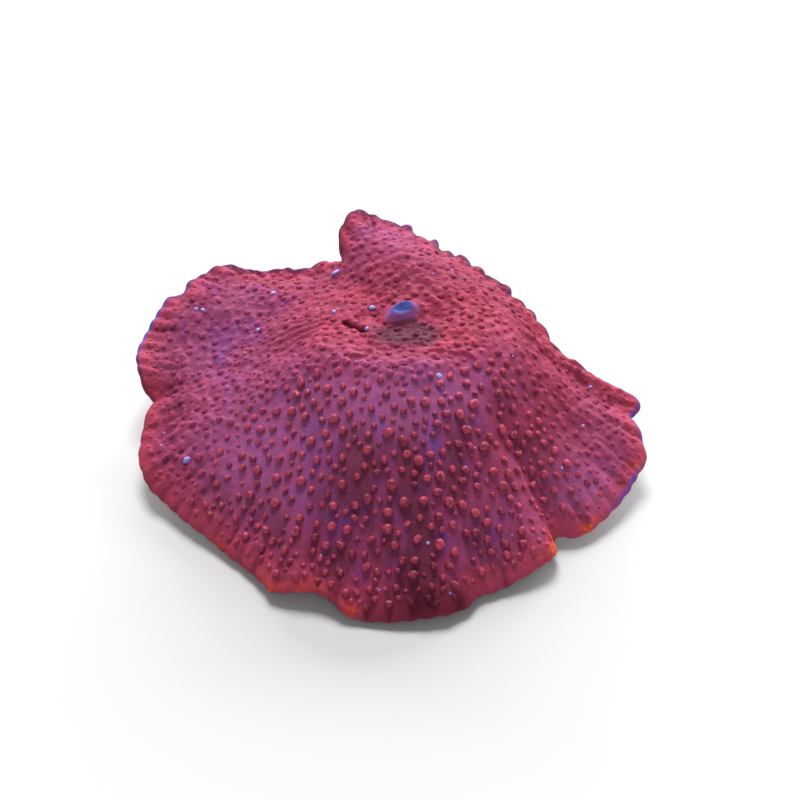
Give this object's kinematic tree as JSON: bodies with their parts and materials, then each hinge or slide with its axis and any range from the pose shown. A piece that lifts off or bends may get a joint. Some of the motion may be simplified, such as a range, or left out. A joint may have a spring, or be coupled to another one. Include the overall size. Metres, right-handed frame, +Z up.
{
  "type": "mushroom coral",
  "caption": "Soft mushroom coral polyp: a lobed, draped disc covered in small round knobs, with an oval mouth on its crown, on a short foot cut off flat.",
  "frame": {"origin": "middle of the flat cut under the foot, on the surface that the coral rests on", "axes": "+Z up, out of the disc; -Y towards the long front drape; +X to the right as seen from the front"},
  "size_m": [0.0607, 0.0538, 0.0188],
  "materials": {
    "coral_tissue": "wet living tissue, purple between red knobs, with an orange and violet margin"
  },
  "bodies": {
    "root": {"polyp": "coral_tissue"}
  },
  "joints": []
}
